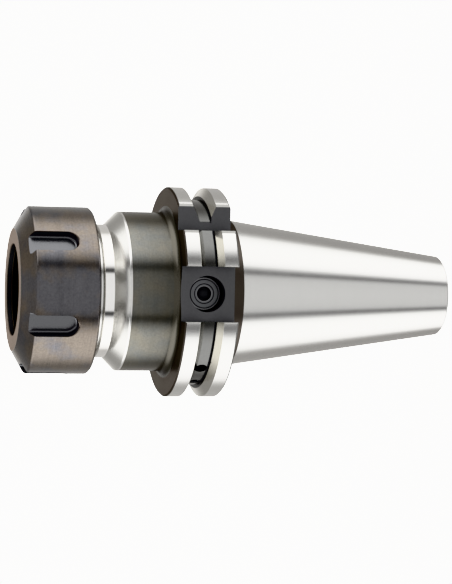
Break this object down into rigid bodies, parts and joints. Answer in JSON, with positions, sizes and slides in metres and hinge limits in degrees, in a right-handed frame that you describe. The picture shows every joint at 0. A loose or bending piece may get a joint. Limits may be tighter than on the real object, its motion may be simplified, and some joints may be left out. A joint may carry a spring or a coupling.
{
  "type": "collet chuck holder",
  "caption": "Steep-taper tool holder with a gripper flange, drive slots and a collet nose closed by a slotted clamping nut that screws on and off.",
  "frame": {"origin": "centre of the small end face of the taper, on the axis, where the part stands", "axes": "+Z along the axis from the small end of the taper to the clamping nut, -Y out of the drive slot with the screw, +X toward the side of the orientation notch"},
  "size_m": [0.0636, 0.0614, 0.1334],
  "materials": {
    "holder_steel": "taper, lands, flanks, cone and neck ground bright; body, flange faces, slots and notch blackened satin",
    "nut_steel": "turned and oxidised dark grey-brown, satin",
    "black_screw": "black oxide, satin",
    "spring_steel": "plain spring steel"
  },
  "bodies": {
    "holder": {"holder_body": "holder_steel", "slot_screw": "black_screw", "balance_screw": "black_screw"},
    "press_ring_body": {"press_ring": "nut_steel"},
    "nut": {"clamping_nut": "nut_steel", "ring_circlip": "spring_steel"}
  },
  "joints": [
    {"name": "nut_travel", "type": "slide", "parent": "holder", "child": "press_ring_body", "axis": [0, 0, 1], "range_m": [0, 0.0105]},
    {"name": "nut_turn", "type": "hinge", "parent": "press_ring_body", "child": "nut", "pos_m": [0, 0, 0.12], "axis": [0, 0, 1], "range_deg": [0, 2520]}
  ],
  "couplings": [
    {"joint": "nut_travel", "follows": "nut_turn", "m_per_rad": 0.00023873}
  ]
}
